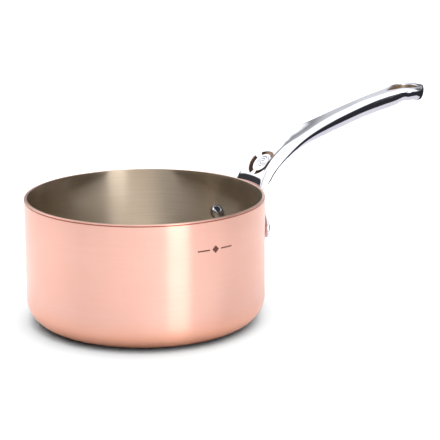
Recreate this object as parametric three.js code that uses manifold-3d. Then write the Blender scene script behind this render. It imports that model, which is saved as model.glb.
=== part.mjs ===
// A copper saucepan with a bonded stainless-steel lining and a riveted cast-steel handle.
// Millimetres, +Z up. The origin is the centre of the flat underside, and the handle runs along +X.
import * as THREE from 'three';
import { LoftGeometry } from 'three/addons/geometries/LoftGeometry.js';
import { mergeVertices } from 'three/addons/utils/BufferGeometryUtils.js';
import Module from 'manifold-3d';

const wasm = await Module();
wasm.setup();

// Driving dimensions of the pan.
const INNER_RADIUS = 80;          // a 16 cm pan is named by its inner diameter
const LINING_THICKNESS = 0.4;     // stainless steel
const BOND_GAP = 0.1;             // stands for the bond between the two metals
const COPPER_THICKNESS = 1.5;
const PAN_HEIGHT = 86.6;
const CORNER_RADIUS = 17.2;       // where the wall turns into the base, outside
const RIM_CHAMFER = 0.5;
const PAN_SEGMENTS = 72;
const CORNER_STEPS = 6;

const LINING_RADIUS = INNER_RADIUS + LINING_THICKNESS;
const COPPER_INNER_RADIUS = LINING_RADIUS + BOND_GAP;
const OUTER_RADIUS = COPPER_INNER_RADIUS + COPPER_THICKNESS;
const LINING_BOTTOM = COPPER_THICKNESS + BOND_GAP;

// Driving dimensions of the rivets. Angles are measured round the pan from the handle.
const FIT_GAP = 0.3;              // between pieces that rest on one another
const SHANK_RADIUS = 3;
const HEAD_RADIUS = 5.75;
const HEAD_HEIGHT = 4.2;
const TAIL_RADIUS = 4.6;
const TAIL_HEIGHT = 1.4;
const RIVET_SEGMENTS = 20;
const RIVETS = {
  rivet_left: { angle: 21.4, depth: 28 },
  rivet_right: { angle: -21.4, depth: 28 },
  rivet_middle: { angle: 0, depth: 29.5 },
};

// Driving dimensions of the handle.
const FLANGE_THICKNESS = 3.2;
const WALL_FACE = OUTER_RADIUS + FIT_GAP;
const RIB_HALF_WIDTH = 15;
const FACE_STEPS = 10;
const SHOULDER_STEPS = 3;
const UNDERSIDE_STEPS = 10;
const STEPS_PER_STATION = 2;
const RING_CENTRE_X = 219.8;
const RING_RADIUS = 12.8;
const RING_TOP = 55.6;             // above the rim
const RING_DEPTH = 11.6;
const HOLE_CENTRE_X = 218.9;
const HOLE_RADIUS = 8.6;
const HOLE_TIP_X = 201.6;
const HOLLOW_RADIUS = 34;          // of the hollow ground into the gooseneck's upper face
const BADGE = { x: 94.2, aboveRim: 11.7, slope: 49, discRadius: 6.2, discHeight: 0.8 };
const BADGE_GROOVE = { innerRadius: 7.8, outerRadius: 10.4, depth: 1.2, arcs: 3, gap: 26 };

const degrees = THREE.MathUtils.degToRad;
const point = (x, y) => new THREE.Vector2(x, y);

// ---- solids from three.js geometry ----

function solid(geometry) {
  const bare = new THREE.BufferGeometry();
  bare.setAttribute('position', geometry.attributes.position);
  bare.setIndex(geometry.index);
  const merged = mergeVertices(bare, 1e-4);
  const mesh = new wasm.Mesh({
    numProp: 3,
    vertProperties: new Float32Array(merged.attributes.position.array),
    triVerts: new Uint32Array(merged.index.array),
  });
  return new wasm.Manifold(mesh);
}

function geometryOf(manifold) {
  const mesh = manifold.getMesh();
  const geometry = new THREE.BufferGeometry();
  geometry.setAttribute('position', new THREE.BufferAttribute(mesh.vertProperties, mesh.numProp));
  geometry.setIndex(new THREE.BufferAttribute(mesh.triVerts, 1));
  return geometry;
}

// A lathe turned about Z: the profile's x is the radius and its y is the height.
function turned(profile, segments) {
  return new THREE.LatheGeometry(profile, segments).rotateX(Math.PI / 2);
}

function extruded(shape, depth, curveSegments) {
  return new THREE.ExtrudeGeometry(shape, { depth, curveSegments, bevelEnabled: false });
}

function arcPoints(centreX, centreY, radius, from, to, steps) {
  const points = [];
  for (let i = 0; i <= steps; i++) {
    const angle = degrees(from + ((to - from) * i) / steps);
    points.push(point(centreX + radius * Math.cos(angle), centreY + radius * Math.sin(angle)));
  }
  return points;
}

// ---- the pan ----

// One skin of the pan: base, rounded corner and wall, closed from axis to axis.
function panSkin(outerRadius, innerRadius, bottom, chamfer) {
  const thickness = outerRadius - innerRadius;
  const cornerCentre = OUTER_RADIUS - CORNER_RADIUS;
  const outerCorner = outerRadius - cornerCentre;
  const innerCorner = innerRadius - cornerCentre;
  const profile = [
    point(0, bottom),
    ...arcPoints(cornerCentre, CORNER_RADIUS, outerCorner, -90, 0, CORNER_STEPS),
    point(outerRadius, PAN_HEIGHT - chamfer),
    ...(chamfer > 0 ? [point(outerRadius - chamfer, PAN_HEIGHT)] : []),
    point(innerRadius, PAN_HEIGHT),
    ...arcPoints(cornerCentre, CORNER_RADIUS, innerCorner, 0, -90, CORNER_STEPS),
    point(0, bottom + thickness),
  ];
  return solid(turned(profile, PAN_SEGMENTS));
}

function rivetPlace({ angle, depth }) {
  return new THREE.Matrix4()
    .makeTranslation(0, 0, PAN_HEIGHT - depth)
    .multiply(new THREE.Matrix4().makeRotationZ(degrees(angle)));
}

// The holes for all the rivets, as one tool that reaches from inside the pan through the flange.
function rivetHoles() {
  const near = INNER_RADIUS - 5;
  const length = OUTER_RADIUS + FLANGE_THICKNESS + 5 - near;
  const radius = SHANK_RADIUS + FIT_GAP;
  const hole = new THREE.CylinderGeometry(radius, radius, length, RIVET_SEGMENTS)
    .rotateZ(Math.PI / 2)
    .translate(near + length / 2, 0, 0);
  return Object.values(RIVETS)
    .map((rivet) => solid(hole.clone().applyMatrix4(rivetPlace(rivet))))
    .reduce((all, next) => all.add(next));
}

function copperShell() {
  const skin = panSkin(OUTER_RADIUS, COPPER_INNER_RADIUS, 0, RIM_CHAMFER);
  return geometryOf(skin.subtract(rivetHoles()));
}

function steelLining() {
  const skin = panSkin(LINING_RADIUS, INNER_RADIUS, LINING_BOTTOM, 0);
  return geometryOf(skin.subtract(rivetHoles()));
}

// ---- the rivets ----

// A domed head inside the pan, a shank through the wall, and a low formed tail on the flange.
function rivet() {
  const headFace = INNER_RADIUS - 0.5;
  const tailFace = OUTER_RADIUS + FIT_GAP + FLANGE_THICKNESS + FIT_GAP;
  const domeRadius = (HEAD_RADIUS ** 2 + HEAD_HEIGHT ** 2) / (2 * HEAD_HEIGHT);
  const domeAngle = THREE.MathUtils.radToDeg(Math.asin(HEAD_RADIUS / domeRadius));
  const domeCentre = headFace - HEAD_HEIGHT + domeRadius;
  const dome = arcPoints(0, domeCentre, domeRadius, -90, -90 + domeAngle, 5);
  const profile = [
    ...dome.map((p) => point(Math.max(p.x, 0), p.y)),
    point(SHANK_RADIUS, headFace),
    point(SHANK_RADIUS, tailFace),
    point(TAIL_RADIUS, tailFace),
    point(TAIL_RADIUS, tailFace + TAIL_HEIGHT * 0.4),
    point(TAIL_RADIUS * 0.7, tailFace + TAIL_HEIGHT * 0.85),
    point(0, tailFace + TAIL_HEIGHT),
  ];
  return new THREE.LatheGeometry(profile, RIVET_SEGMENTS).rotateZ(-Math.PI / 2);
}

// ---- the handle ----

// The handle is one loft. Each row is a station on its upper face, from the foot of the flange, up
// the pan wall, over the gooseneck and along the grip: x, height above the rim, half-width of the
// flat face, full half-width, depth of the side, and depth at the middle of the underside.
const STATIONS = [
  [WALL_FACE + 0.4, -38.6, 5, 6, 1, 1.2],
  [WALL_FACE, -38.2, 10, 11.5, 1.6, 1.8],
  [WALL_FACE, -37, 18, 20, 2.2, 2.4],
  [WALL_FACE, -35, 27, 29.5, 2.8, 3],
  [WALL_FACE, -32, 33.5, 36, 3.1, 3.2],
  [WALL_FACE, -28, 36.5, 39, 3.2, 3.2],
  [WALL_FACE, -24, 35.5, 38, 3.2, 3.2],
  [WALL_FACE, -20, 31, 33.5, 3, 4.2],
  [WALL_FACE, -16, 24.5, 27, 2.7, 5.4],
  [WALL_FACE, -12, 19.8, 22, 2.5, 6.2],
  [WALL_FACE + 0.2, -8, 17, 18.8, 2.6, 6.4],
  [WALL_FACE + 0.7, -4, 16, 18, 3, 6.6],
  [84, 0, 15.4, 18.5, 4.6, 7.6],
  [85.2, 3.7, 14.9, 18.4, 4.9, 8.2],
  [88.7, 9.2, 13.5, 17.6, 5.2, 8.6],
  [93.3, 14.1, 11.9, 16.8, 5.4, 8.8],
  [97.8, 17.8, 11, 16, 5.5, 8.9],
  [105.8, 23.5, 10.1, 14.6, 5.6, 9.2],
  [114, 27.5, 9.3, 12.6, 5.5, 9.8],
  [122.2, 30.8, 8.2, 10.9, 4.8, 10.4],
  [130.4, 34, 7.1, 9.6, 4.5, 11.4],
  [138.6, 37, 5.7, 8.3, 4.7, 12.2],
  [150.9, 41.1, 4.5, 7, 5, 12.8],
  [163.2, 44.8, 3.9, 6.4, 5, 13],
  [175.5, 48.3, 3.6, 6.1, 5, 13],
  [187.8, 51.1, 4.2, 6.2, 5, 13],
  [198, 53.1, 4.7, 6.7, 4.4, 13],
  [205, 54.3, 6, 8, 3.6, 12.6],
  ...ringStations(),
  [RING_CENTRE_X + RING_RADIUS, RING_TOP - 0.05, 1.6, 2.4, 2.9, RING_DEPTH - 1.4],
];

// The round end: the full half-width follows a circle.
function ringStations() {
  return [130, 110, 90, 70, 50, 25].map((angle) => {
    const across = RING_RADIUS * Math.sin(degrees(angle));
    const along = RING_RADIUS * Math.cos(degrees(angle));
    return [RING_CENTRE_X + along, RING_TOP, across * 0.8, across, 2.9, RING_DEPTH];
  });
}

const column = (first, second) =>
  new THREE.CatmullRomCurve3(STATIONS.map((row) => new THREE.Vector3(row[first], row[second], 0)));
const faceLine = column(0, 1);
const widthLine = column(2, 3);
const depthLine = column(4, 5);

// A closed section as lateral offset and depth: across the upper face, hollowed by the given share
// of its arc, round one shoulder, back along the round underside and up the other shoulder.
function sectionOutline(face, full, sideDepth, midDepth, hollow) {
  const outline = [];
  for (let i = 0; i <= FACE_STEPS; i++) {
    const lateral = face * (1 - (2 * i) / FACE_STEPS);
    outline.push({ lateral, depth: hollow * (face ** 2 - lateral ** 2) / (2 * HOLLOW_RADIUS) });
  }
  const shoulder = [];
  for (let i = 1; i < SHOULDER_STEPS; i++) {
    const share = i / SHOULDER_STEPS;
    shoulder.push({ lateral: full - (full - face) * (1 - share) ** 2, depth: sideDepth * share });
  }
  outline.push(...shoulder.map(({ lateral, depth }) => ({ lateral: -lateral, depth })));
  const rib = Math.min(full, RIB_HALF_WIDTH);
  for (let i = 0; i <= UNDERSIDE_STEPS; i++) {
    const lateral = -full * Math.cos((Math.PI * i) / UNDERSIDE_STEPS);
    const bulge = Math.sqrt(Math.max(0, 1 - (lateral / rib) ** 2));
    outline.push({ lateral, depth: sideDepth + (midDepth - sideDepth) * bulge });
  }
  outline.push(...shoulder.reverse());
  return outline;
}

// How far a station wraps round the pan: fully on the wall, fading out over the gooseneck.
function wrapAt(aboveRim) {
  return 1 - THREE.MathUtils.smoothstep(aboveRim, -5, 8);
}

// How deep the hollow in the upper face is: it starts above the rim and fades out along the grip.
function hollowAt(x, aboveRim) {
  return THREE.MathUtils.smoothstep(aboveRim, 4, 14) * (1 - THREE.MathUtils.smoothstep(x, 120, 170));
}

// The section's outline in space, a fraction v of the way along the handle.
function sectionAt(v) {
  const face = faceLine.getPoint(v);
  const hollow = hollowAt(face.x, face.y);
  const tangent = faceLine.getTangent(v);
  const width = widthLine.getPoint(v);
  const depths = depthLine.getPoint(v);
  return sectionOutline(width.x, width.y, depths.x, depths.y, hollow).map(({ lateral, depth }) => {
    const x = face.x + depth * tangent.y;
    const z = face.y - depth * tangent.x;
    const onCylinder = Math.sqrt(x * x - lateral ** 2);
    return new THREE.Vector3(
      THREE.MathUtils.lerp(x, onCylinder, wrapAt(face.y)),
      lateral,
      PAN_HEIGHT + z,
    );
  });
}

function handleBlank() {
  const count = (STATIONS.length - 1) * STEPS_PER_STATION;
  const sections = [];
  for (let i = 0; i <= count; i++) sections.push(sectionAt(i / count));
  return solid(new LoftGeometry(sections, { capStart: true, capEnd: true }));
}

// Plan view of the teardrop hanging hole, pointed towards the pan.
function hangingHole() {
  const halfAngle = Math.acos(HOLE_RADIUS / (HOLE_CENTRE_X - HOLE_TIP_X));
  const shape = new THREE.Shape();
  const tangentX = HOLE_CENTRE_X - HOLE_RADIUS * Math.cos(halfAngle);
  const tangentY = HOLE_RADIUS * Math.sin(halfAngle);
  shape.moveTo(HOLE_TIP_X, 0);
  shape.lineTo(tangentX, -tangentY);
  shape.absarc(HOLE_CENTRE_X, 0, HOLE_RADIUS, -Math.PI + halfAngle, Math.PI - halfAngle, false);
  shape.closePath();
  return solid(extruded(shape, 100, 8).translate(0, 0, PAN_HEIGHT));
}

// Lays a tool that points along +Z onto the sloping face that carries the badge.
function ontoBadgeFace(geometry) {
  return geometry
    .rotateY(-degrees(BADGE.slope))
    .translate(BADGE.x, 0, PAN_HEIGHT + BADGE.aboveRim);
}

function badgeDisc() {
  const depthInHandle = 2;
  const disc = new THREE.CylinderGeometry(
    BADGE.discRadius, BADGE.discRadius, BADGE.discHeight + depthInHandle, 32,
  );
  disc.rotateX(Math.PI / 2).translate(0, 0, (BADGE.discHeight - depthInHandle) / 2);
  return solid(ontoBadgeFace(disc));
}

// One of the plain arc grooves round the disc.
function badgeGroove(index) {
  const { innerRadius, outerRadius, depth, arcs, gap } = BADGE_GROOVE;
  const span = 360 / arcs;
  const start = degrees((index - 0.5) * span + gap / 2);
  const end = degrees((index + 0.5) * span - gap / 2);
  const shape = new THREE.Shape();
  shape.absarc(0, 0, outerRadius, start, end, false);
  shape.absarc(0, 0, innerRadius, end, start, true);
  shape.closePath();
  const clearAbove = 6;
  return solid(ontoBadgeFace(extruded(shape, depth + clearAbove, 10).translate(0, 0, -depth)));
}

function handle() {
  let body = handleBlank().subtract(hangingHole());
  for (let i = 0; i < BADGE_GROOVE.arcs; i++) body = body.subtract(badgeGroove(i));
  return geometryOf(body.add(badgeDisc()).subtract(rivetHoles()));
}

// ---- the assembly ----

function named(name, geometry, material) {
  const mesh = new THREE.Mesh(geometry, new THREE.MeshStandardMaterial(material));
  mesh.name = name;
  return mesh;
}

const COPPER = { color: 0xeeb79f, roughness: 0.3, metalness: 1 };
const BRUSHED_STEEL = { color: 0xb9b0a6, roughness: 0.4, metalness: 1 };
const POLISHED_STEEL = { color: 0xd8d8dc, roughness: 0.08, metalness: 1 };

const saucepan = new THREE.Group();
saucepan.add(named('copper_shell', copperShell(), COPPER));
saucepan.add(named('steel_lining', steelLining(), BRUSHED_STEEL));
saucepan.add(named('handle', handle(), POLISHED_STEEL));
for (const [name, place] of Object.entries(RIVETS)) {
  const mesh = named(name, rivet(), POLISHED_STEEL);
  mesh.applyMatrix4(rivetPlace(place));
  saucepan.add(mesh);
}

export default saucepan;
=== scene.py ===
"""A copper saucepan with a brushed steel lining and a riveted, mirror-polished cast handle.

Metres, +Z up. The origin is the centre of the flat underside, and the handle runs along +X.
"""

import math

import bmesh
import bpy
import numpy as np
from mathutils import Matrix, Vector


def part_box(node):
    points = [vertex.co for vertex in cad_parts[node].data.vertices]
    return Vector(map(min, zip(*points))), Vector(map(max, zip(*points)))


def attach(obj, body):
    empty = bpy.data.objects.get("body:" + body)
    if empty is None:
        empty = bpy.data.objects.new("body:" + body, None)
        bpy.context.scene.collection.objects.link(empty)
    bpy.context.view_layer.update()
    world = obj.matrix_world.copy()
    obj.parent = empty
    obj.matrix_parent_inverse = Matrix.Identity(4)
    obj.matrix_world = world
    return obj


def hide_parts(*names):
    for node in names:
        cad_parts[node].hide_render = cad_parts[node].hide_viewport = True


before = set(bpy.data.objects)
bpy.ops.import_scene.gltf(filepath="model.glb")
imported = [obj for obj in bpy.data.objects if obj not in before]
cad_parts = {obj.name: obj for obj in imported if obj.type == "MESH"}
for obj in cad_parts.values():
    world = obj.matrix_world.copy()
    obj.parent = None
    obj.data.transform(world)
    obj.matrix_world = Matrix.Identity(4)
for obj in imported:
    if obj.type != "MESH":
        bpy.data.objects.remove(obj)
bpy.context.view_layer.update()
MM = 0.001

# ---- driving dimensions, from the frame where it has them ----
OUTER_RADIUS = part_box("copper_shell")[1].y
PAN_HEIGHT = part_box("copper_shell")[1].z
LINING_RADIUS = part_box("steel_lining")[1].y
LINING_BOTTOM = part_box("steel_lining")[0].z
LINING_THICKNESS = 0.4 * MM
COPPER_THICKNESS = 1.5 * MM
INNER_RADIUS = LINING_RADIUS - LINING_THICKNESS
COPPER_INNER_RADIUS = OUTER_RADIUS - COPPER_THICKNESS
CORNER_RADIUS = 17.2 * MM
CORNER_CENTRE = OUTER_RADIUS - CORNER_RADIUS
RIM_ROUND = 0.45 * MM
PAN_SEGMENTS = 288
CORNER_STEPS = 24

FIT_GAP = 0.3 * MM
SHANK_RADIUS = 3.0 * MM
HEAD_RADIUS = 5.75 * MM
HEAD_HEIGHT = 4.2 * MM
TAIL_RADIUS = 4.6 * MM
TAIL_HEIGHT = 1.4 * MM
RIVET_SEGMENTS = 72
# Each rivet's angle round the pan from the handle, and its depth below the rim.
RIVETS = {
    "rivet_left": (21.4, 28 * MM),
    "rivet_right": (-21.4, 28 * MM),
    "rivet_middle": (0, 29.5 * MM),
}

FLANGE_THICKNESS = 3.2 * MM
WALL_FACE = OUTER_RADIUS + FIT_GAP
RIB_HALF_WIDTH = 15 * MM
HOLLOW_RADIUS = 34 * MM
RING_CENTRE_X = 219.8 * MM
RING_RADIUS = 12.8 * MM
RING_TOP = 55.6 * MM
RING_DEPTH = 11.6 * MM
HOLE_CENTRE_X = 218.9 * MM
HOLE_RADIUS = 8.6 * MM
HOLE_TIP_X = 201.6 * MM
HOLE_EDGE = 0.7 * MM
BADGE_X = 94.2 * MM
BADGE_ABOVE_RIM = 11.7 * MM
BADGE_SLOPE = 49
DISC_RADIUS = 6.2 * MM
DISC_HEIGHT = 0.8 * MM
DISC_EDGE = 0.35 * MM
DISC_RINGS = (4.7 * MM, 3.0 * MM, 1.4 * MM)
DISC_RING_WIDTH = 0.32 * MM
DISC_RING_DEPTH = 0.22 * MM
DISC_SUNK = 2 * MM
DISC_SEGMENTS = 96
GROOVE_INNER_RADIUS = 7.8 * MM
GROOVE_OUTER_RADIUS = 10.4 * MM
GROOVE_DEPTH = 1.2 * MM
GROOVES = 3
GROOVE_GAP = 26                     # degrees between one groove and the next

# The plain etched mark on the front of the wall.
MARK_ANGLE = -84.5
MARK_HEIGHT = PAN_HEIGHT - 20 * MM
MARK_LIFT = 0.04 * MM
LOZENGE_HALF = 2.6 * MM
BAR_NEAR = 4.4 * MM
BAR_FAR = 13.5 * MM
BAR_HALF_THICKNESS = 0.45 * MM

# The camera: where it stands, which way it looks, in degrees, and its lens and sensor, in millimetres.
CAMERA_PLACE = (-0.5203, -0.9786, 0.3545)
CAMERA_HEADING = 59.355
CAMERA_TILT_DOWN = 14.463
CAMERA_ROLL = -0.137
CAMERA_LENS = 136.81
CAMERA_SENSOR = 36


# ---- camera ----

def make_camera():
    heading = math.radians(CAMERA_HEADING)
    down = math.radians(CAMERA_TILT_DOWN)
    level = math.cos(down)
    ahead = Vector((math.cos(heading) * level, math.sin(heading) * level, -math.sin(down)))
    right = ahead.cross(Vector((0, 0, 1))).normalized()
    right.rotate(Matrix.Rotation(-math.radians(CAMERA_ROLL), 3, ahead))
    up = right.cross(ahead)
    data = bpy.data.cameras.new("camera")
    data.lens = CAMERA_LENS
    data.sensor_width = CAMERA_SENSOR
    camera = bpy.data.objects.new("camera", data)
    turn = Matrix((right, up, -ahead)).transposed()
    camera.matrix_world = Matrix.Translation(CAMERA_PLACE) @ turn.to_4x4()
    bpy.context.scene.collection.objects.link(camera)
    bpy.context.scene.camera = camera


# ---- mesh helpers ----

def mesh_object(name, vertices, faces, sharp_angle=35):
    mesh = bpy.data.meshes.new(name)
    mesh.from_pydata([tuple(v) for v in vertices], [], faces)
    mesh.update()
    piece = bpy.data.objects.new(name, mesh)
    bpy.context.scene.collection.objects.link(piece)
    make_normals_outward(piece)
    shade_smooth(piece, sharp_angle)
    return piece


def make_normals_outward(piece):
    body = bmesh.new()
    body.from_mesh(piece.data)
    bmesh.ops.recalc_face_normals(body, faces=body.faces)
    body.to_mesh(piece.data)
    body.free()


def shade_smooth(piece, sharp_angle):
    piece.data.shade_smooth()
    piece.data.set_sharp_from_angle(angle=math.radians(sharp_angle))


def arc(centre_x, centre_y, radius, start, end, steps):
    turns = [math.radians(start + (end - start) * i / steps) for i in range(steps + 1)]
    return [(centre_x + radius * math.cos(a), centre_y + radius * math.sin(a)) for a in turns]


def lathe(name, profile, segments, sharp_angle=35):
    """Turns a profile of (radius, height) about Z. The profile starts and ends on the axis."""
    vertices = [(0, 0, profile[0][1])]
    middle = profile[1:-1]
    for radius, height in middle:
        for k in range(segments):
            angle = 2 * math.pi * k / segments
            vertices.append((radius * math.cos(angle), radius * math.sin(angle), height))
    vertices.append((0, 0, profile[-1][1]))
    last = len(vertices) - 1
    faces = []
    for k in range(segments):
        after = (k + 1) % segments
        faces.append((0, 1 + after, 1 + k))
        faces.append((last, last - segments + k, last - segments + after))
    for row in range(len(middle) - 1):
        low = 1 + row * segments
        for k in range(segments):
            after = (k + 1) % segments
            faces.append((low + k, low + after, low + segments + after, low + segments + k))
    return mesh_object(name, vertices, faces, sharp_angle)


def tube_faces(rings, size):
    """Faces that join equal rings of points one after another, with a cap at each end."""
    faces = []
    for i in range(rings - 1):
        low, high = i * size, (i + 1) * size
        for k in range(size):
            after = (k + 1) % size
            faces.append((low + k, low + after, high + after, high + k))
    faces.append(tuple(range(size)))
    faces.append(tuple((rings - 1) * size + k for k in range(size)))
    return faces


def apply_modifiers(piece):
    graph = bpy.context.evaluated_depsgraph_get()
    piece.data = bpy.data.meshes.new_from_object(piece.evaluated_get(graph))
    piece.modifiers.clear()


def cut(piece, tool):
    boolean = piece.modifiers.new("cut", "BOOLEAN")
    boolean.operation = "DIFFERENCE"
    boolean.solver = "EXACT"
    boolean.object = tool
    boolean.material_mode = "TRANSFER"
    apply_modifiers(piece)
    bpy.data.objects.remove(tool)


def give(piece, material, node=None):
    piece.data.materials.clear()
    piece.data.materials.append(material)
    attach(piece, "root")
    if node:
        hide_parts(node)


# ---- material helpers ----

class Nodes:
    """A material's node tree, with short calls for the nodes used here."""

    def __init__(self, name):
        self.material = bpy.data.materials.new(name)
        self.material.use_nodes = True
        self.tree = self.material.node_tree
        self.tree.nodes.clear()
        self.shader = self.tree.nodes.new("ShaderNodeBsdfPrincipled")
        self.output = self.tree.nodes.new("ShaderNodeOutputMaterial")
        self.link(self.shader.outputs["BSDF"], self.output.inputs["Surface"])
        self.place = self.tree.nodes.new("ShaderNodeTexCoord").outputs["Object"]

    def link(self, output, socket):
        self.tree.links.new(output, socket)

    def feed(self, value, socket):
        if isinstance(value, bpy.types.NodeSocket):
            self.link(value, socket)
        else:
            socket.default_value = value

    def math(self, operation, first, second=0.0):
        node = self.tree.nodes.new("ShaderNodeMath")
        node.operation = operation
        for value, socket in zip((first, second), node.inputs):
            self.feed(value, socket)
        return node.outputs[0]

    def split_place(self):
        node = self.tree.nodes.new("ShaderNodeSeparateXYZ")
        self.link(self.place, node.inputs[0])
        return node.outputs

    def vector(self, x, y, z):
        node = self.tree.nodes.new("ShaderNodeCombineXYZ")
        for value, socket in zip((x, y, z), node.inputs):
            self.feed(value, socket)
        return node.outputs[0]

    def noise(self, vector, scale, detail=3.0, roughness=0.5):
        node = self.tree.nodes.new("ShaderNodeTexNoise")
        self.link(vector, node.inputs["Vector"])
        node.inputs["Scale"].default_value = scale
        node.inputs["Detail"].default_value = detail
        node.inputs["Roughness"].default_value = roughness
        return node.outputs["Fac"]

    def between(self, value, low, high, to_low=0.0, to_high=1.0):
        """A smooth step from to_low to to_high as the value goes from low to high."""
        node = self.tree.nodes.new("ShaderNodeMapRange")
        node.interpolation_type = "SMOOTHSTEP"
        self.link(value, node.inputs["Value"])
        node.inputs["From Min"].default_value = low
        node.inputs["From Max"].default_value = high
        node.inputs["To Min"].default_value = to_low
        node.inputs["To Max"].default_value = to_high
        return node.outputs["Result"]

    def blend(self, share, first, second):
        node = self.tree.nodes.new("ShaderNodeMix")
        node.data_type = "RGBA"
        self.feed(share, node.inputs["Factor"])
        for value, name in ((first, "A"), (second, "B")):
            sockets = [s for s in node.inputs if s.name == name and s.type == "RGBA"]
            self.feed(value, sockets[0])
        return [s for s in node.outputs if s.type == "RGBA"][0]

    def bump(self, height, strength, distance):
        node = self.tree.nodes.new("ShaderNodeBump")
        node.inputs["Strength"].default_value = strength
        node.inputs["Distance"].default_value = distance
        self.link(height, node.inputs["Height"])
        self.link(node.outputs["Normal"], self.shader.inputs["Normal"])

    def brushed_round_z(self):
        """Stretches highlights across brushing that runs round the Z axis."""
        self.shader.inputs["Anisotropic"].default_value = 1.0
        node = self.tree.nodes.new("ShaderNodeTangent")
        node.direction_type = "RADIAL"
        node.axis = "Z"
        self.link(node.outputs[0], self.shader.inputs["Tangent"])
        self.shader.inputs["Anisotropic Rotation"].default_value = 0.25


def linear(red, green, blue):
    """An 8-bit display colour as linear RGBA."""
    def one(value):
        value /= 255
        return value / 12.92 if value <= 0.04045 else ((value + 0.055) / 1.055) ** 2.4
    return (one(red), one(green), one(blue), 1.0)


def round_lines(nodes, lines_per_metre, stretch):
    """Fine brushed lines that run round the Z axis on walls and in circles on flats."""
    x, y, z = nodes.split_place()
    square = nodes.math("ADD", nodes.math("MULTIPLY", x, x), nodes.math("MULTIPLY", y, y))
    radius = nodes.math("SQRT", square)
    angle = nodes.math("ARCTAN2", y, x)
    round_x = nodes.math("MULTIPLY", nodes.math("COSINE", angle), stretch)
    round_y = nodes.math("MULTIPLY", nodes.math("SINE", angle), stretch)
    across = nodes.math("MULTIPLY", nodes.math("ADD", z, radius), lines_per_metre)
    return nodes.noise(nodes.vector(round_x, round_y, across), 1.0, 4.0, 0.6)


def copper_material():
    nodes = Nodes("brushed_copper")
    z = nodes.split_place()["Z"]
    lines = round_lines(nodes, 5200, 2.0)
    broad = nodes.noise(nodes.place, 22.0, 2.0)
    base = nodes.blend(nodes.between(lines, 0.3, 0.7), linear(236, 185, 169), linear(242, 194, 180))
    base = nodes.blend(nodes.between(broad, 0.35, 0.65, 0.0, 0.35), base, linear(238, 179, 164))
    # Painted shade: the wall turns a deeper orange towards the base, standing in for the floor's contact
    # shadow seen in the lower wall.
    painted_base_shade = nodes.between(z, 1 * MM, 25 * MM, 0.6, 0.0)
    base = nodes.blend(painted_base_shade, base, linear(244, 158, 112))
    # Painted reflection: a thin dark red band just under the lip, standing in for the dark that the
    # rounded rim edge reflects.
    above_line = nodes.between(z, PAN_HEIGHT - 1.6 * MM, PAN_HEIGHT - 1.1 * MM)
    below_lip = nodes.between(z, PAN_HEIGHT - 0.8 * MM, PAN_HEIGHT - 0.4 * MM, 1.0, 0.0)
    painted_rim_reflection = nodes.math("MULTIPLY", above_line, below_lip)
    base = nodes.blend(painted_rim_reflection, base, linear(150, 78, 60))
    nodes.link(base, nodes.shader.inputs["Base Color"])
    nodes.shader.inputs["Metallic"].default_value = 1.0
    nodes.link(nodes.between(lines, 0.2, 0.8, 0.30, 0.36), nodes.shader.inputs["Roughness"])
    nodes.brushed_round_z()
    nodes.bump(lines, 0.03, 0.0002)
    return nodes.material


def lining_material():
    nodes = Nodes("brushed_stainless")
    lines = round_lines(nodes, 4200, 2.0)
    broad = nodes.noise(nodes.place, 30.0, 2.0)
    base = nodes.blend(nodes.between(lines, 0.3, 0.7), linear(220, 206, 188), linear(234, 221, 204))
    base = nodes.blend(nodes.between(broad, 0.35, 0.65, 0.0, 0.3), base, linear(220, 204, 180))
    nodes.link(base, nodes.shader.inputs["Base Color"])
    nodes.shader.inputs["Metallic"].default_value = 1.0
    nodes.link(nodes.between(lines, 0.2, 0.8, 0.34, 0.40), nodes.shader.inputs["Roughness"])
    nodes.brushed_round_z()
    nodes.bump(lines, 0.04, 0.0002)
    return nodes.material


def polished_material():
    nodes = Nodes("polished_steel")
    waves = nodes.noise(nodes.place, 60.0, 2.0)
    scratches = nodes.noise(nodes.place, 900.0, 3.0)
    base = nodes.blend(nodes.between(waves, 0.3, 0.7), linear(222, 224, 234), linear(233, 234, 242))
    nodes.link(base, nodes.shader.inputs["Base Color"])
    nodes.shader.inputs["Metallic"].default_value = 1.0
    nodes.link(nodes.between(scratches, 0.3, 0.8, 0.05, 0.11), nodes.shader.inputs["Roughness"])
    nodes.bump(waves, 0.05, 0.0004)
    return nodes.material


def recess_painted_shade_material():
    nodes = Nodes("cast_recess_painted_shade")
    grain = nodes.noise(nodes.place, 1500.0, 3.0)
    # Painted shade: the grooves are coloured dark brown, standing in for the shade that falls in them;
    # their rougher surface comes from the roughness and bump.
    base = nodes.blend(nodes.between(grain, 0.3, 0.7), linear(120, 96, 78), linear(158, 132, 112))
    nodes.link(base, nodes.shader.inputs["Base Color"])
    nodes.shader.inputs["Metallic"].default_value = 1.0
    nodes.link(nodes.between(grain, 0.2, 0.8, 0.35, 0.55), nodes.shader.inputs["Roughness"])
    nodes.bump(grain, 0.3, 0.0001)
    return nodes.material


def bore_painted_reflection_material():
    nodes = Nodes("ground_bore_painted_reflection")
    grain = nodes.noise(nodes.place, 1100.0, 3.0)
    # Painted reflection: the bore's steel is tinted a warm brownish grey, standing in for the warm light
    # its walls reflect; its rougher surface comes from the roughness and bump.
    base = nodes.blend(nodes.between(grain, 0.3, 0.7), linear(188, 168, 150), linear(206, 188, 170))
    nodes.link(base, nodes.shader.inputs["Base Color"])
    nodes.shader.inputs["Metallic"].default_value = 1.0
    nodes.link(nodes.between(grain, 0.2, 0.8, 0.26, 0.4), nodes.shader.inputs["Roughness"])
    nodes.bump(grain, 0.1, 0.0001)
    return nodes.material


def etched_material():
    nodes = Nodes("etched_mark")
    grain = nodes.noise(nodes.place, 2400.0, 3.0)
    base = nodes.blend(nodes.between(grain, 0.3, 0.7), linear(84, 42, 34), linear(112, 62, 50))
    nodes.link(base, nodes.shader.inputs["Base Color"])
    nodes.shader.inputs["Metallic"].default_value = 0.2
    nodes.link(nodes.between(grain, 0.2, 0.8, 0.5, 0.7), nodes.shader.inputs["Roughness"])
    return nodes.material


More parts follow.
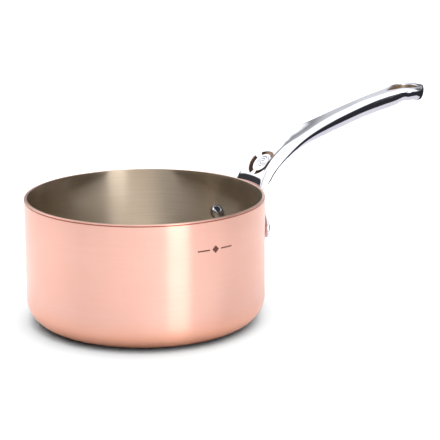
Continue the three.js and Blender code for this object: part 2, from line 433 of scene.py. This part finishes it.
def floor_material():
    nodes = Nodes("white_floor")
    grain = nodes.noise(nodes.place, 3.0, 2.0)
    base = nodes.blend(nodes.between(grain, 0.3, 0.7), linear(250, 250, 251), linear(253, 253, 253))
    nodes.link(base, nodes.shader.inputs["Base Color"])
    nodes.shader.inputs["Roughness"].default_value = 0.6
    nodes.shader.inputs["Specular IOR Level"].default_value = 0.2
    return nodes.material


# ---- the pan ----

def copper_body():
    thickness = COPPER_THICKNESS
    inner_corner = CORNER_RADIUS - thickness
    profile = [(0, 0)]
    profile += arc(CORNER_CENTRE, CORNER_RADIUS, CORNER_RADIUS, -90, 0, CORNER_STEPS)
    profile += [(OUTER_RADIUS, CORNER_RADIUS + (PAN_HEIGHT - CORNER_RADIUS) * k / 4) for k in (1, 2, 3)]
    profile += arc(OUTER_RADIUS - RIM_ROUND, PAN_HEIGHT - RIM_ROUND, RIM_ROUND, 0, 90, 6)
    profile += [(COPPER_INNER_RADIUS, PAN_HEIGHT)]
    profile += arc(CORNER_CENTRE, CORNER_RADIUS, inner_corner, 0, -90, CORNER_STEPS)
    profile += [(0, thickness)]
    return lathe("copper_body", profile, PAN_SEGMENTS)


def steel_lining():
    outer_corner = LINING_RADIUS - CORNER_CENTRE
    inner_corner = INNER_RADIUS - CORNER_CENTRE
    profile = [(0, LINING_BOTTOM)]
    profile += arc(CORNER_CENTRE, CORNER_RADIUS, outer_corner, -90, 0, CORNER_STEPS)
    profile += [(LINING_RADIUS, PAN_HEIGHT)]
    profile += [(INNER_RADIUS, PAN_HEIGHT)]
    profile += arc(CORNER_CENTRE, CORNER_RADIUS, inner_corner, 0, -90, CORNER_STEPS)
    profile += [(0, LINING_BOTTOM + LINING_THICKNESS)]
    return lathe("steel_lining_skin", profile, PAN_SEGMENTS)


# ---- the rivets ----

def rivet(name, angle, depth):
    """A domed head inside the pan, a shank through the wall, and a low formed tail on the flange."""
    head_face = INNER_RADIUS - 0.5 * MM
    tail_face = WALL_FACE + FLANGE_THICKNESS + FIT_GAP
    dome_radius = (HEAD_RADIUS ** 2 + HEAD_HEIGHT ** 2) / (2 * HEAD_HEIGHT)
    dome_angle = math.degrees(math.asin(HEAD_RADIUS / dome_radius))
    dome_centre = head_face - HEAD_HEIGHT + dome_radius
    head_edge = 0.25 * MM
    profile = arc(0, dome_centre, dome_radius, -90, -90 + dome_angle * 0.94, 20)
    profile += [(HEAD_RADIUS, head_face - head_edge), (HEAD_RADIUS - 0.1 * MM, head_face)]
    profile += [(SHANK_RADIUS, head_face), (SHANK_RADIUS, tail_face)]
    profile += [(TAIL_RADIUS - 0.2 * MM, tail_face)]
    for turn in range(4, 90, 8):
        angle_up = math.radians(turn)
        profile.append((TAIL_RADIUS * math.cos(angle_up), tail_face + TAIL_HEIGHT * math.sin(angle_up)))
    profile += [(0, tail_face + TAIL_HEIGHT)]
    piece = lathe(name, profile, RIVET_SEGMENTS, sharp_angle=50)
    along_x = Matrix.Rotation(math.radians(90), 4, "Y")
    place = Matrix.Translation((0, 0, PAN_HEIGHT - depth)) @ Matrix.Rotation(math.radians(angle), 4, "Z")
    piece.data.transform(place @ along_x)
    return piece


# ---- the handle ----

def ring_stations():
    """The round end of the handle: the full half-width follows a circle."""
    rows = []
    for angle in (130, 110, 90, 70, 50, 25):
        across = RING_RADIUS * math.sin(math.radians(angle))
        along = RING_RADIUS * math.cos(math.radians(angle))
        rows.append((RING_CENTRE_X + along, RING_TOP, across * 0.8, across, 2.9 * MM, RING_DEPTH))
    return rows


# Each row is a station on the handle's upper face, from the foot of the flange, up the pan wall, over
# the gooseneck and along the grip: x, height above the rim, half-width of the face, full half-width,
# depth of the side, and depth at the middle of the underside.
STATIONS = [
    (WALL_FACE + 0.0004, -0.0386, 0.005, 0.006, 0.001, 0.0012),
    (WALL_FACE, -0.0382, 0.010, 0.0115, 0.0016, 0.0018),
    (WALL_FACE, -0.037, 0.018, 0.020, 0.0022, 0.0024),
    (WALL_FACE, -0.035, 0.027, 0.0295, 0.0028, 0.003),
    (WALL_FACE, -0.032, 0.0335, 0.036, 0.0031, 0.0032),
    (WALL_FACE, -0.028, 0.0365, 0.039, 0.0032, 0.0032),
    (WALL_FACE, -0.024, 0.0355, 0.038, 0.0032, 0.0032),
    (WALL_FACE, -0.020, 0.031, 0.0335, 0.003, 0.0042),
    (WALL_FACE, -0.016, 0.0245, 0.027, 0.0027, 0.0054),
    (WALL_FACE, -0.012, 0.0198, 0.022, 0.0025, 0.0062),
    (WALL_FACE + 0.0002, -0.008, 0.017, 0.0188, 0.0026, 0.0064),
    (WALL_FACE + 0.0007, -0.004, 0.016, 0.018, 0.003, 0.0066),
    (0.084, 0.0, 0.0154, 0.0185, 0.0046, 0.0076),
    (0.0852, 0.0037, 0.0149, 0.0184, 0.0049, 0.0082),
    (0.0887, 0.0092, 0.0135, 0.0176, 0.0052, 0.0086),
    (0.0933, 0.0141, 0.0119, 0.0168, 0.0054, 0.0088),
    (0.0978, 0.0178, 0.011, 0.016, 0.0055, 0.0089),
    (0.1058, 0.0235, 0.0101, 0.0146, 0.0056, 0.0092),
    (0.114, 0.0275, 0.0093, 0.0126, 0.0055, 0.0098),
    (0.1222, 0.0308, 0.0082, 0.0109, 0.0048, 0.0104),
    (0.1304, 0.034, 0.0071, 0.0096, 0.0045, 0.0114),
    (0.1386, 0.037, 0.0057, 0.0083, 0.0047, 0.0122),
    (0.1509, 0.0411, 0.0045, 0.007, 0.005, 0.0128),
    (0.1632, 0.0448, 0.0039, 0.0064, 0.005, 0.013),
    (0.1755, 0.0483, 0.0036, 0.0061, 0.005, 0.013),
    (0.1878, 0.0511, 0.0042, 0.0062, 0.005, 0.013),
    (0.198, 0.0531, 0.0047, 0.0067, 0.0044, 0.013),
    (0.205, 0.0543, 0.006, 0.008, 0.0036, 0.0126),
    *ring_stations(),
    (RING_CENTRE_X + RING_RADIUS, RING_TOP - 0.00005, 0.0016, 0.0024, 0.0029, RING_DEPTH - 0.0014),
]
GRIP = STATIONS[20:]                # past the gooseneck, where the face rises steadily
FACE_STEPS = 40
SHOULDER_STEPS = 20
UNDER_STEPS = 56
EDGE_PASSES = 4                     # rounds of smoothing that soften a section's corners
STEPS_PER_STATION = 8


def spline(points, place):
    """Value and slope of a centripetal Catmull-Rom curve, at place = point number + share."""
    count = len(points)
    first = min(int(place), count - 2)
    share = place - first
    near, far = points[first], points[first + 1]
    before = points[first - 1] if first > 0 else 2 * near - far
    after = points[first + 2] if first + 2 < count else 2 * far - near
    pairs = ((before, near), (near, far), (far, after))
    gaps = [max(np.linalg.norm(b - a), 1e-9) ** 0.5 for a, b in pairs]
    start = (near - before) / gaps[0] - (far - before) / (gaps[0] + gaps[1]) + (far - near) / gaps[1]
    end = (far - near) / gaps[1] - (after - near) / (gaps[1] + gaps[2]) + (after - far) / gaps[2]
    start = start * gaps[1]
    end = end * gaps[1]
    square_term = 3 * (far - near) - 2 * start - end
    cube_term = 2 * (near - far) + start + end
    value = near + start * share + square_term * share ** 2 + cube_term * share ** 3
    slope = start + 2 * square_term * share + 3 * cube_term * share ** 2
    return value, slope


def smooth_step(value, low, high):
    share = min(max((value - low) / (high - low), 0), 1)
    return share * share * (3 - 2 * share)


def wrap_at(above_rim):
    """How far a station wraps round the pan: fully on the wall, fading out over the gooseneck."""
    return 1 - smooth_step(above_rim, -0.005, 0.008)


def hollow_at(x, above_rim):
    """How deep the hollow in the upper face is: it starts above the rim and fades out along the grip."""
    return smooth_step(above_rim, 0.004, 0.014) * (1 - smooth_step(x, 0.120, 0.170))


def section_outline(face, full, side_depth, middle_depth, hollow):
    """A closed section as (lateral, depth) rows: upper face, shoulder, round underside, shoulder."""
    rib = min(full, RIB_HALF_WIDTH)

    def shoulder(share):
        return full - (full - face) * (1 - share) ** 2, side_depth * share

    def under(lateral):
        bulge = math.sqrt(max(0, 1 - (lateral / rib) ** 2))
        return side_depth + (middle_depth - side_depth) * bulge

    outline = []
    for share in np.arange(FACE_STEPS) / FACE_STEPS:
        lateral = face * (1 - 2 * share)
        outline.append((lateral, hollow * (face ** 2 - lateral ** 2) / (2 * HOLLOW_RADIUS)))
    for share in np.arange(SHOULDER_STEPS) / SHOULDER_STEPS:
        lateral, depth = shoulder(share)
        outline.append((-lateral, depth))
    for turn in np.arange(UNDER_STEPS) * math.pi / UNDER_STEPS:
        lateral = -full * math.cos(turn)
        outline.append((lateral, under(lateral)))
    for share in np.arange(SHOULDER_STEPS) / SHOULDER_STEPS:
        outline.append(shoulder(1 - share))
    outline = np.array(outline)
    for _ in range(EDGE_PASSES):
        outline = outline / 2 + (np.roll(outline, 1, axis=0) + np.roll(outline, -1, axis=0)) / 4
    return outline


def handle_loft():
    face_line = [np.array(row[0:2]) for row in STATIONS]
    width_line = [np.array(row[2:4]) for row in STATIONS]
    depth_line = [np.array(row[4:6]) for row in STATIONS]
    vertices = []
    rows = (len(STATIONS) - 1) * STEPS_PER_STATION + 1
    for i in range(rows):
        place = i / STEPS_PER_STATION
        (x, above_rim), slope = spline(face_line, place)
        (face, full), _ = spline(width_line, place)
        (side_depth, middle_depth), _ = spline(depth_line, place)
        slope = slope / np.linalg.norm(slope)
        wrap = wrap_at(above_rim)
        hollow = hollow_at(x, above_rim)
        for lateral, depth in section_outline(face, full, side_depth, middle_depth, hollow):
            flat_x = x + depth * slope[1]
            height = above_rim - depth * slope[0]
            round_x = math.sqrt(flat_x ** 2 - lateral ** 2)
            vertices.append((flat_x + (round_x - flat_x) * wrap, lateral, PAN_HEIGHT + height))
    return mesh_object("handle_casting", vertices, tube_faces(rows, len(vertices) // rows))


def teardrop(offset, steps=48):
    """The hanging hole's outline in plan, grown by offset."""
    half = math.acos(HOLE_RADIUS / (HOLE_CENTRE_X - HOLE_TIP_X))
    tip = HOLE_TIP_X - offset / math.cos(half)
    radius = HOLE_RADIUS + offset
    outline = arc(HOLE_CENTRE_X, 0, radius, math.degrees(half) - 180, 180 - math.degrees(half), steps)
    upper, lower = outline[-1], outline[0]
    straight = 10
    for k in range(1, straight):
        outline.append((upper[0] + (tip - upper[0]) * k / straight, upper[1] * (1 - k / straight)))
    outline.append((tip, 0))
    for k in range(1, straight):
        outline.append((tip + (lower[0] - tip) * k / straight, lower[1] * k / straight))
    return outline


def face_height(x):
    """Height of the handle's upper face at x, along the grip and ring."""
    if x >= RING_CENTRE_X - RING_RADIUS * 0.6:
        return PAN_HEIGHT + RING_TOP
    return PAN_HEIGHT + float(np.interp(x, [row[0] for row in GRIP], [row[1] for row in GRIP]))


def stacked_cutter(name, rings):
    """A closed body from equal-length rings of points, capped at both ends."""
    vertices = [p for ring in rings for p in ring]
    return mesh_object(name, vertices, tube_faces(len(rings), len(rings[0])))


def hanging_hole_cutter():
    """The teardrop, flared where it meets the upper face so the edge is rounded."""
    far_below = -30 * MM
    levels = [(3 * HOLE_EDGE, 4 * HOLE_EDGE)]
    for turn in (0, 22.5, 45, 67.5, 90):
        angle = math.radians(turn)
        levels.append((HOLE_EDGE * (1 - math.sin(angle)), -HOLE_EDGE * (1 - math.cos(angle))))
    levels.append((0, far_below))
    rings = []
    for offset, level in levels:
        rings.append([(x, y, face_height(x) + level) for x, y in teardrop(offset)])
    return stacked_cutter("hole_cutter", rings)


def onto_badge_face(piece):
    turn = Matrix.Rotation(-math.radians(BADGE_SLOPE), 4, "Y")
    piece.data.transform(Matrix.Translation((BADGE_X, 0, PAN_HEIGHT + BADGE_ABOVE_RIM)) @ turn)


def groove_cutter(index):
    """One plain arc groove, with sides that lean outwards."""
    span = 360 / GROOVES
    start = (index - 0.5) * span + GROOVE_GAP / 2
    end = (index + 0.5) * span - GROOVE_GAP / 2
    rings = []
    clear_above = 6 * MM
    for level, grow in ((-GROOVE_DEPTH, 0.0), (-0.2 * MM, 0.15 * MM), (clear_above, 1.2 * MM)):
        outer = arc(0, 0, GROOVE_OUTER_RADIUS + grow, start, end, 32)
        inner = arc(0, 0, GROOVE_INNER_RADIUS - grow, end, start, 32)
        rings.append([(x, y, level) for x, y in outer + inner])
    piece = stacked_cutter("groove_cutter", rings)
    onto_badge_face(piece)
    return piece


def badge_disc():
    """A plain raised disc with concentric rings."""
    top = DISC_HEIGHT
    valley = top - DISC_RING_DEPTH
    width = DISC_RING_WIDTH
    profile = [(0, -DISC_SUNK), (DISC_RADIUS, -DISC_SUNK), (DISC_RADIUS, top - DISC_EDGE)]
    profile += arc(DISC_RADIUS - DISC_EDGE, top - DISC_EDGE, DISC_EDGE, 0, 90, 5)
    for radius in DISC_RINGS:
        profile += [(radius + width, top), (radius + width / 2, valley)]
        profile += [(radius - width / 2, valley), (radius - width, top)]
    profile += [(0, top)]
    piece = lathe("handle_boss", profile, DISC_SEGMENTS, sharp_angle=60)
    onto_badge_face(piece)
    return piece


def cut_with_finish_and_painted_light(piece, tool, polished, finish_and_painted_light, everywhere):
    """Cuts, and leaves the cut's own rougher metal, with painted light in its colour, on the cut's upright
    faces or everywhere in it, and polish elsewhere.
    """
    tool.data.materials.append(polished)
    tool.data.materials.append(finish_and_painted_light)
    for face in tool.data.polygons:
        upright = abs(face.normal.z) < 0.1
        face.material_index = 1 if upright or everywhere else 0
    cut(piece, tool)


def handle(polished, recess, bore):
    piece = handle_loft()
    piece.data.materials.append(polished)
    cut_with_finish_and_painted_light(piece, hanging_hole_cutter(), polished, bore, everywhere=False)
    for index in range(GROOVES):
        cut_with_finish_and_painted_light(piece, groove_cutter(index), polished, recess, everywhere=True)
    shade_smooth(piece, sharp_angle=32)
    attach(piece, "root")
    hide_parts("handle")


# ---- the plain etched mark on the front of the pan ----

def wrapped_plate(name, outline):
    """A thin plate bent round the pan, from an outline of (along the wall, height) points."""
    vertices = []
    for lift in (-MARK_LIFT, MARK_LIFT):
        for along, up in outline:
            angle = math.radians(MARK_ANGLE) + along / OUTER_RADIUS
            radius = OUTER_RADIUS + lift
            vertices.append((radius * math.cos(angle), radius * math.sin(angle), MARK_HEIGHT + up))
    size = len(outline)
    faces = [tuple(range(size)), tuple(size + k for k in range(size))]
    for k in range(size):
        after = (k + 1) % size
        faces.append((k, after, size + after, size + k))
    return mesh_object(name, vertices, faces)


def etched_mark(material):
    half = LOZENGE_HALF
    pieces = [wrapped_plate("mark_lozenge", [(half, 0), (0, half), (-half, 0), (0, -half)])]
    for name, side in (("mark_bar_left", -1), ("mark_bar_right", 1)):
        steps = 12
        above = []
        for k in range(steps + 1):
            above.append((side * (BAR_NEAR + (BAR_FAR - BAR_NEAR) * k / steps), BAR_HALF_THICKNESS))
        below = [(along, -thick) for along, thick in reversed(above)]
        pieces.append(wrapped_plate(name, above + below))
    for piece in pieces:
        give(piece, material)


# ---- studio ----

FLOOR_RADIUS = 3.2
FLOOR_SEGMENTS = 96


def make_floor(material):
    vertices = []
    for turn in np.linspace(0, 2 * math.pi, FLOOR_SEGMENTS, endpoint=False):
        vertices.append((math.cos(turn) * FLOOR_RADIUS, math.sin(turn) * FLOOR_RADIUS, 0))
    mesh = bpy.data.meshes.new("floor")
    mesh.from_pydata(vertices, [], [tuple(range(FLOOR_SEGMENTS))])
    floor = bpy.data.objects.new("floor", mesh)
    floor.data.materials.append(material)
    bpy.context.scene.collection.objects.link(floor)


def make_card(name, corners, material):
    """A flag that only reflections see."""
    mesh = bpy.data.meshes.new(name)
    mesh.from_pydata(corners, [], [tuple(range(len(corners)))])
    card = bpy.data.objects.new(name, mesh)
    card.data.materials.append(material)
    card.visible_camera = False
    card.visible_diffuse = False
    card.visible_shadow = False
    card.visible_transmission = False
    bpy.context.scene.collection.objects.link(card)


def studio_point(towards_camera, to_the_right):
    """A plan position given from the pan's centre, along and across the line to the camera."""
    heading = math.radians(CAMERA_HEADING)
    front = Vector((-math.cos(heading), -math.sin(heading)))
    side = Vector((math.sin(heading), -math.cos(heading)))
    return front * towards_camera + side * to_the_right


def make_mouth_flag(name, chord, material):
    """A flag over the part of the pan's mouth beyond a chord, measured to the right of its middle."""
    radius = INNER_RADIUS - 1 * MM
    half = math.acos(abs(chord) / radius)
    corners = []
    for turn in np.linspace(-half, half, 33):
        across = math.copysign(radius * math.cos(turn), chord)
        corners.append((*studio_point(radius * math.sin(turn), across), PAN_HEIGHT + 0.5 * MM))
    make_card(name, corners, material)


def card_material(colour):
    material = bpy.data.materials.new("card")
    material.use_nodes = True
    tree = material.node_tree
    tree.nodes.clear()
    glow = tree.nodes.new("ShaderNodeEmission")
    glow.inputs["Color"].default_value = (*colour, 1)
    output = tree.nodes.new("ShaderNodeOutputMaterial")
    tree.links.new(glow.outputs[0], output.inputs["Surface"])
    return material


def make_strip_box():
    """A tall light in front of the pan, to the right of the camera's line of sight."""
    towards_camera, near, far = 0.656, 0.265, 0.59
    bottom, top = 0.1, 0.9
    first = studio_point(towards_camera, near)
    last = studio_point(towards_camera, far)
    corners = [(*first, bottom), (*last, bottom), (*last, top), (*first, top)]
    make_card("strip_box", corners, card_material((3.6, 3.45, 3.3)))


def make_handle_flags(dark):
    """A dark card that the near side of the handle mirrors, and a pale one under the whole handle."""
    neck, under_ring, past_ring = 0.0885, 0.113, 0.115
    make_card("dark_flag", [
        (0.088, -0.018, neck + 0.0001),
        (0.24, -0.026, under_ring),
        (0.25, 0.0, past_ring),
        (0.25, 0.4, past_ring),
        (0.9, 0.4, past_ring),
        (0.9, -0.6, past_ring),
        (0.20, -0.60, neck),
    ], dark)
    under_grip = 0.1125
    make_card("pale_flag", [
        (0.096, -0.019, neck),
        (0.265, -0.035, under_grip),
        (0.265, 0.14, under_grip),
        (0.096, 0.14, neck),
    ], card_material((0.88, 0.84, 0.88)))


# The studio round the object, as rows of degrees to the right of the camera's side and brightness.
# First the soft boxes, and then what stands below them on the horizon.
SOFT_BOXES = [
    (-180, 0.85), (-173, 0.7), (-166.5, 0.3), (-162, 1.6), (-98, 1.6), (-84, 0.9), (-68, 0.6), (-46, 1.0),
    (-25, 1.3), (0, 1.85), (18, 2.3), (30, 2.3), (44, 1.5), (80, 1.4), (92, 0.4), (110, 0.1), (140, 0.4),
    (180, 0.85),
]
HORIZON = [
    (-180, 0.65), (-162, 0.3), (-140, 0.15), (-128, 0.05), (-60, 0.04), (60, 0.04), (140, 0.05),
    (170, 0.08), (180, 0.65),
]
BRIGHTEST = 3.0                     # a colour ramp holds values up to 1, so brightness is scaled by this
OVERHEAD = 1.3
KEY_LIGHT = 3.45
BOX_EDGE = (0.25, 0.34)             # sines of the elevations between which one gives way to the next
OVERHEAD_EDGE = (0.75, 0.95)
KEY_EDGE = (0.45, 0.95)             # cosines of the angle off the key light's middle
KEY_TO_THE_RIGHT = 0.08
KEY_AWAY = 0.12
KEY_UP = 0.9


def make_world():
    """White to the camera, soft light from above for surfaces, and soft boxes for reflections."""
    world = bpy.data.worlds.new("studio")
    bpy.context.scene.world = world
    world.use_nodes = True
    tree = world.node_tree
    tree.nodes.clear()

    def node(kind):
        return tree.nodes.new("ShaderNode" + kind)

    def feed(value, socket):
        if isinstance(value, bpy.types.NodeSocket):
            tree.links.new(value, socket)
        else:
            socket.default_value = value

    def calculate(operation, first, second=0.0, third=0.0):
        made = node("Math")
        made.operation = operation
        for value, socket in zip((first, second, third), made.inputs):
            feed(value, socket)
        return made.outputs[0]

    def along(direction):
        made = node("VectorMath")
        made.operation = "DOT_PRODUCT"
        tree.links.new(way, made.inputs[0])
        made.inputs[1].default_value = direction
        return made.outputs["Value"]

    def step(value, edge, full):
        """A smooth step from 0 to full across the edge."""
        made = node("MapRange")
        made.interpolation_type = "SMOOTHSTEP"
        feed(value, made.inputs["Value"])
        made.inputs["From Min"].default_value, made.inputs["From Max"].default_value = edge
        made.inputs["To Max"].default_value = full
        return made.outputs["Result"]

    way = node("TexCoord").outputs["Generated"]
    heading = math.radians(CAMERA_HEADING)
    front = along((-math.cos(heading), -math.sin(heading), 0))
    side = along((math.sin(heading), -math.cos(heading), 0))
    height = along((0, 0, 1))
    turn = calculate("MULTIPLY_ADD", calculate("ARCTAN2", side, front), 0.5 / math.pi, 0.5)

    def all_round(levels):
        ramp = node("ValToRGB")
        ramp.color_ramp.interpolation = "EASE"
        stops = ramp.color_ramp.elements
        while len(stops) < len(levels):
            stops.new(0.5)
        for stop, (angle, brightness) in zip(stops, levels):
            stop.position = angle / 360 + 0.5
            stop.color = (brightness / BRIGHTEST,) * 3 + (1,)
        feed(turn, ramp.inputs["Fac"])
        return calculate("MULTIPLY", ramp.outputs["Color"], BRIGHTEST)

    def shared(share, first, second):
        """First where the share is 0, second where it is 1."""
        rest = calculate("SUBTRACT", 1.0, share)
        return calculate("ADD", calculate("MULTIPLY", first, rest), calculate("MULTIPLY", share, second))

    boxes = shared(step(height, BOX_EDGE, 1.0), all_round(HORIZON), all_round(SOFT_BOXES))
    boxes = shared(step(height, OVERHEAD_EDGE, 1.0), boxes, OVERHEAD)
    key_way = Vector((
        KEY_TO_THE_RIGHT * math.sin(heading) + KEY_AWAY * math.cos(heading),
        -KEY_TO_THE_RIGHT * math.cos(heading) + KEY_AWAY * math.sin(heading),
        KEY_UP,
    ))
    soft = step(along(key_way.normalized()), KEY_EDGE, KEY_LIGHT)
    path = node("LightPath")
    light = shared(path.outputs["Is Diffuse Ray"], boxes, soft)
    light = shared(path.outputs["Is Camera Ray"], light, 1.0)
    background = node("Background")
    background.inputs["Color"].default_value = (1, 1, 1, 1)
    feed(light, background.inputs["Strength"])
    output = node("OutputWorld")
    tree.links.new(background.outputs[0], output.inputs["Surface"])


# ---- the scene ----

make_camera()
polished = polished_material()
give(copper_body(), copper_material(), "copper_shell")
give(steel_lining(), lining_material(), "steel_lining")
handle(polished, recess_painted_shade_material(), bore_painted_reflection_material())
give(badge_disc(), polished, None)
for name, (angle, depth) in RIVETS.items():
    give(rivet(name + "_domed", angle, depth), polished, name)
etched_mark(etched_material())
make_floor(floor_material())
make_world()
dark = card_material((0.03, 0.03, 0.035))
make_handle_flags(dark)
make_mouth_flag("mouth_flag_left", -27 * MM, dark)
make_mouth_flag("mouth_flag_right", 16 * MM, dark)
make_strip_box()
bpy.context.scene.cycles.caustics_reflective = False
bpy.context.scene.view_settings.view_transform = "Standard"
